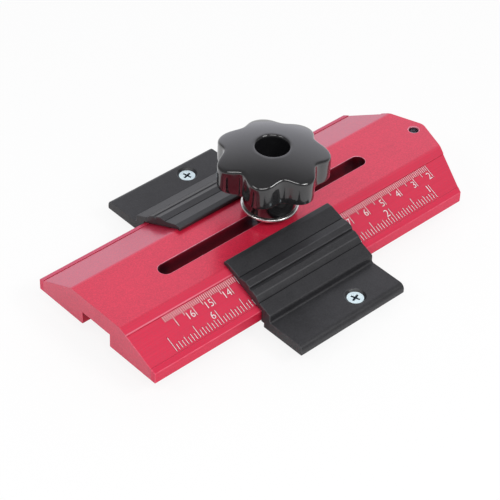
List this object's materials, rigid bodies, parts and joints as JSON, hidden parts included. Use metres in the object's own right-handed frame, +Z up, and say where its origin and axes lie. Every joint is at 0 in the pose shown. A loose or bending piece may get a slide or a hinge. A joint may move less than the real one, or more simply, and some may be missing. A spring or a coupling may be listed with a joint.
{
  "type": "thin rip jig",
  "caption": "Thin rip jig: a sliding red arm with a ruler and a bearing in its nose, guided by black brackets on a mitre bar and clamped by a lobed knob.",
  "frame": {"origin": "on the clamp bolt's axis, at the underside of the mitre bar", "axes": "+X along the arm towards its nose, +Y along the mitre bar away from the ruler's side, +Z up"},
  "size_m": [0.1924, 0.125, 0.0601],
  "materials": {
    "red_anodised_aluminium": "satin red anodised, white laser-marked ruler",
    "black_anodised_aluminium": "matte black anodised",
    "plain_aluminium": "plain machined",
    "zinc_plated_steel": "pale blue zinc plate",
    "bright_steel": "bright turned or pressed steel",
    "bearing_steel": "ground and polished",
    "cage_brass": "pressed",
    "black_gloss_plastic": "glossy moulded"
  },
  "bodies": {
    "base": {"mitre_bar": "plain_aluminium", "front_bracket": "black_anodised_aluminium", "rear_bracket": "black_anodised_aluminium", "front_bracket_screw": "zinc_plated_steel", "rear_bracket_screw": "zinc_plated_steel", "clamp_bolt": "zinc_plated_steel", "bolt_nut": "zinc_plated_steel"},
    "arm": {"slide_arm": "red_anodised_aluminium", "bearing_inner_ring": "bearing_steel", "bearing_screw": "zinc_plated_steel", "upper_bearing_spacer": "bright_steel", "lower_bearing_washer": "bright_steel"},
    "roller": {"bearing_outer_ring": "bearing_steel", "upper_bearing_shield": "bright_steel", "lower_bearing_shield": "bright_steel"},
    "ball_set": {"bearing_balls": "bearing_steel", "bearing_cage": "cage_brass"},
    "washer": {"clamp_washer": "bright_steel"},
    "knob": {"clamp_knob": "black_gloss_plastic", "knob_insert": "bright_steel"}
  },
  "joints": [
    {"name": "arm_slide", "type": "slide", "parent": "base", "child": "arm", "axis": [1, 0, 0], "range_m": [-0.0538, 0.0588]},
    {"name": "roller_spin", "type": "hinge", "parent": "arm", "child": "roller", "pos_m": [0.08975, 0, 0.0132], "axis": [0, 0, 1], "continuous": true},
    {"name": "ball_travel", "type": "hinge", "parent": "arm", "child": "ball_set", "pos_m": [0.08975, 0, 0.0132], "axis": [0, 0, 1], "continuous": true},
    {"name": "knob_lift", "type": "slide", "parent": "base", "child": "washer", "axis": [0, 0, 1], "range_m": [-0.0033, 0.005]},
    {"name": "knob_turn", "type": "hinge", "parent": "washer", "child": "knob", "pos_m": [0, 0, 0.0451], "axis": [0, 0, 1], "range_deg": [-1187, 1799]}
  ],
  "couplings": [
    {"joint": "ball_travel", "follows": "roller_spin", "ratio": 0.6384},
    {"joint": "knob_lift", "follows": "knob_turn", "m_per_rad": 0.00015915}
  ]
}
